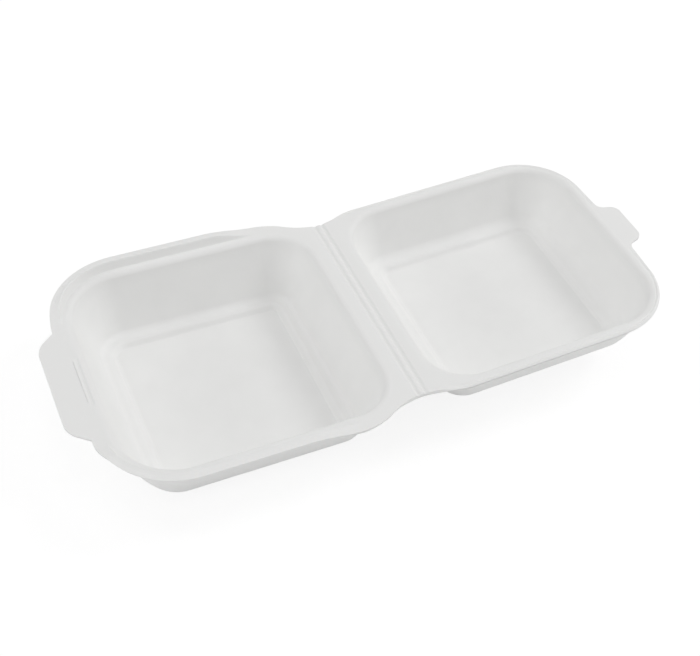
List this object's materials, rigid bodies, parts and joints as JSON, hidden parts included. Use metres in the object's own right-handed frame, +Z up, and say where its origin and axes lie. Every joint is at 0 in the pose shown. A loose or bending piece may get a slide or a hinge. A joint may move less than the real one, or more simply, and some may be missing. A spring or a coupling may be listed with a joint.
{
  "type": "foam clamshell food container",
  "caption": "Hinged foam takeaway box lying open: a deep base tray with a raised lip and a slit tab, a creased folding hinge, and a shallower lid tray with a locking tab.",
  "frame": {"origin": "on the underside of the base, at the middle of its tray", "axes": "+X from the base across the hinge to the lid, +Y along the hinge, +Z up"},
  "size_m": [0.2716, 0.128, 0.0396],
  "materials": {
    "foam": "matt white expanded foam with a fine closed-cell skin"
  },
  "bodies": {
    "base": {"base_tray": "foam"},
    "strip": {"hinge_strip": "foam"},
    "lid": {"lid_tray": "foam"}
  },
  "joints": [
    {"name": "base_crease", "type": "hinge", "parent": "base", "child": "strip", "pos_m": [0.0639, 0, 0.0299], "axis": [0, -1, 0], "range_deg": [0, 88.25]},
    {"name": "lid_crease", "type": "hinge", "parent": "strip", "child": "lid", "pos_m": [0.0673, 0, 0.03], "axis": [0, -1, 0], "range_deg": [0, 88.25]}
  ],
  "couplings": [
    {"joint": "base_crease", "follows": "lid_crease", "ratio": 1}
  ]
}
